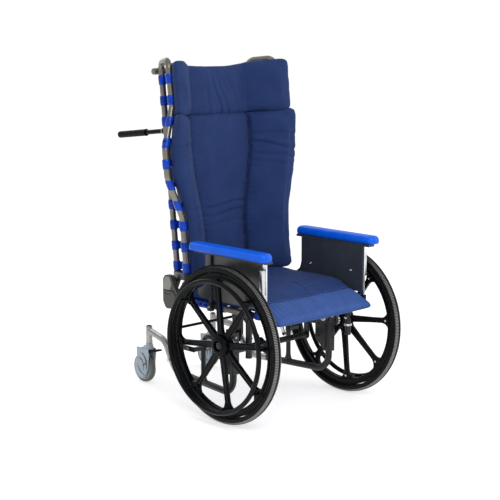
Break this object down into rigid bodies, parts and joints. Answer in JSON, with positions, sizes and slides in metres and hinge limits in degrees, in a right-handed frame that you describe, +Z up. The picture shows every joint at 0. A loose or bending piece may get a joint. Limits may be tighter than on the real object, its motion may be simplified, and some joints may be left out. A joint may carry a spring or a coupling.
{
  "type": "tilt in space wheelchair",
  "caption": "Tilt in space wheelchair with large drive wheels, rear casters, tilting strapped seat, winged reclining back and lift-off arms.",
  "frame": {"origin": "on the floor, at the centre of the chair's outline", "axes": "+Z up, the occupant faces -Y and their left side is +X"},
  "size_m": [0.7904, 1.0474, 1.3686],
  "materials": {
    "charcoal_paint": "satin dark charcoal powder coat",
    "taupe_paint": "satin metallic taupe powder coat",
    "black_plastic": "fine moulded grain",
    "grey_rim": "smooth coated grey",
    "caster_plastic": "smooth moulded grey blue",
    "tyre_rubber": "ribbed grey black rubber",
    "bright_steel": "zinc plated",
    "aluminium_post": "clear anodised",
    "navy_cloth": "woven stretch cloth",
    "strap_vinyl": "glossy vinyl webbing",
    "pad_blue": "smooth moulded foam skin",
    "panel_charcoal": "satin charcoal"
  },
  "bodies": {
    "base": {"base_side_left": "charcoal_paint", "base_side_right": "charcoal_paint", "upright_left": "charcoal_paint", "upright_right": "charcoal_paint", "axle_left": "bright_steel", "axle_right": "bright_steel", "caster_arm_left": "taupe_paint", "caster_arm_right": "taupe_paint", "lock_bracket_left": "charcoal_paint", "lock_bracket_right": "charcoal_paint", "base_cross_tube": "charcoal_paint", "rear_cross_bar": "black_plastic"},
    "seat": {"seat_frame": "taupe_paint", "seat_straps": "strap_vinyl", "seat_cushion": "navy_cloth", "tilt_hanger_left": "charcoal_paint", "tilt_hanger_right": "charcoal_paint", "hinge_cover_left": "taupe_paint", "hinge_cover_right": "taupe_paint", "legrest_post_left": "charcoal_paint", "legrest_post_right": "charcoal_paint", "arm_socket_front_left": "charcoal_paint", "arm_socket_front_right": "charcoal_paint", "arm_socket_rear_left": "charcoal_paint", "arm_socket_rear_right": "charcoal_paint"},
    "back": {"back_ladder_left": "taupe_paint", "back_ladder_right": "taupe_paint", "push_grip_left": "black_plastic", "push_grip_right": "black_plastic", "hinge_arm_left": "charcoal_paint", "hinge_arm_right": "charcoal_paint", "top_cross_tube": "taupe_paint", "lower_cross_tube": "taupe_paint", "back_straps": "strap_vinyl", "back_cushion": "navy_cloth", "headrest": "navy_cloth"},
    "tilt_spring_cylinder": {"tilt_spring_body": "charcoal_paint"},
    "tilt_spring_plunger": {"tilt_spring_rod": "bright_steel"},
    "recline_spring_cylinder": {"recline_spring_body": "charcoal_paint"},
    "recline_spring_plunger": {"recline_spring_rod": "bright_steel"},
    "drive_wheel_left": {"tyre_left": "tyre_rubber", "drive_wheel_left": "black_plastic", "handrim_left": "grey_rim"},
    "caster_fork_left": {"caster_fork_left": "caster_plastic"},
    "caster_wheel_left": {"caster_wheel_left": "tyre_rubber"},
    "caster_pedal_left": {"caster_pedal_left": "black_plastic"},
    "arm_left": {"arm_panel_left": "panel_charcoal", "arm_post_left": "aluminium_post", "arm_pad_left": "pad_blue"},
    "lock_lever_left": {"lock_lever_left": "black_plastic"},
    "drive_wheel_right": {"tyre_right": "tyre_rubber", "drive_wheel_right": "black_plastic", "handrim_right": "grey_rim"},
    "caster_fork_right": {"caster_fork_right": "caster_plastic"},
    "caster_wheel_right": {"caster_wheel_right": "tyre_rubber"},
    "caster_pedal_right": {"caster_pedal_right": "black_plastic"},
    "arm_right": {"arm_panel_right": "panel_charcoal", "arm_post_right": "aluminium_post", "arm_pad_right": "pad_blue"},
    "lock_lever_right": {"lock_lever_right": "black_plastic"}
  },
  "joints": [
    {"name": "tilt", "type": "hinge", "parent": "base", "child": "seat", "pos_m": [0, -0.19986, 0.318], "axis": [-1, 0, 0], "range_deg": [0, 25]},
    {"name": "recline", "type": "hinge", "parent": "seat", "child": "back", "pos_m": [0, 0.17514, 0.445], "axis": [-1, 0, 0], "range_deg": [0, 45]},
    {"name": "tilt_spring_swing", "type": "hinge", "parent": "base", "child": "tilt_spring_cylinder", "pos_m": [0, -0.06986, 0.24], "axis": [-1, 0, 0], "range_deg": [0, 37]},
    {"name": "tilt_spring_stroke", "type": "slide", "parent": "tilt_spring_cylinder", "child": "tilt_spring_plunger", "axis": [0, 0.7311, 0.6823], "range_m": [-0.05439, 0]},
    {"name": "recline_spring_swing", "type": "hinge", "parent": "seat", "child": "recline_spring_cylinder", "pos_m": [0.108, -0.15986, 0.372], "axis": [1, 0, 0], "range_deg": [0, 4.96]},
    {"name": "recline_spring_stroke", "type": "slide", "parent": "recline_spring_cylinder", "child": "recline_spring_plunger", "axis": [0, 1, 0.0092], "range_m": [-0.04675, 0]},
    {"name": "drive_wheel_left_spin", "type": "hinge", "parent": "base", "child": "drive_wheel_left", "pos_m": [0.333, -0.21986, 0.30384], "axis": [1, 0, 0], "continuous": true},
    {"name": "caster_left_swivel", "type": "hinge", "parent": "base", "child": "caster_fork_left", "pos_m": [0.17988, 0.41214, 0.2], "axis": [0, 0, 1], "continuous": true},
    {"name": "caster_left_spin", "type": "hinge", "parent": "caster_fork_left", "child": "caster_wheel_left", "pos_m": [0.17988, 0.44414, 0.06173], "axis": [1, 0, 0], "continuous": true},
    {"name": "caster_left_pedal", "type": "hinge", "parent": "caster_fork_left", "child": "caster_pedal_left", "pos_m": [0.17988, 0.38784, 0.1405], "axis": [1, 0, 0], "range_deg": [0, 15]},
    {"name": "arm_left_lift", "type": "slide", "parent": "seat", "child": "arm_left", "axis": [0, 0, 1], "range_m": [0, 0.06]},
    {"name": "wheel_lock_left", "type": "hinge", "parent": "base", "child": "lock_lever_left", "pos_m": [0.295, 0.10374, 0.237], "axis": [-1, 0, 0], "range_deg": [0, 12]},
    {"name": "drive_wheel_right_spin", "type": "hinge", "parent": "base", "child": "drive_wheel_right", "pos_m": [-0.333, -0.21986, 0.30384], "axis": [1, 0, 0], "continuous": true},
    {"name": "caster_right_swivel", "type": "hinge", "parent": "base", "child": "caster_fork_right", "pos_m": [-0.17988, 0.41214, 0.2], "axis": [0, 0, 1], "continuous": true},
    {"name": "caster_right_spin", "type": "hinge", "parent": "caster_fork_right", "child": "caster_wheel_right", "pos_m": [-0.17988, 0.44414, 0.06173], "axis": [1, 0, 0], "continuous": true},
    {"name": "caster_right_pedal", "type": "hinge", "parent": "caster_fork_right", "child": "caster_pedal_right", "pos_m": [-0.17988, 0.38784, 0.1405], "axis": [1, 0, 0], "range_deg": [0, 15]},
    {"name": "arm_right_lift", "type": "slide", "parent": "seat", "child": "arm_right", "axis": [0, 0, 1], "range_m": [0, 0.06]},
    {"name": "wheel_lock_right", "type": "hinge", "parent": "base", "child": "lock_lever_right", "pos_m": [-0.295, 0.10374, 0.237], "axis": [-1, 0, 0], "range_deg": [0, 12]}
  ],
  "couplings": [
    {"joint": "tilt_spring_swing", "follows": "tilt", "ratio": 1.4796},
    {"joint": "tilt_spring_stroke", "follows": "tilt", "m_per_rad": -0.12463},
    {"joint": "recline_spring_swing", "follows": "recline", "ratio": 0.11007},
    {"joint": "recline_spring_stroke", "follows": "recline", "m_per_rad": -0.059506}
  ]
}
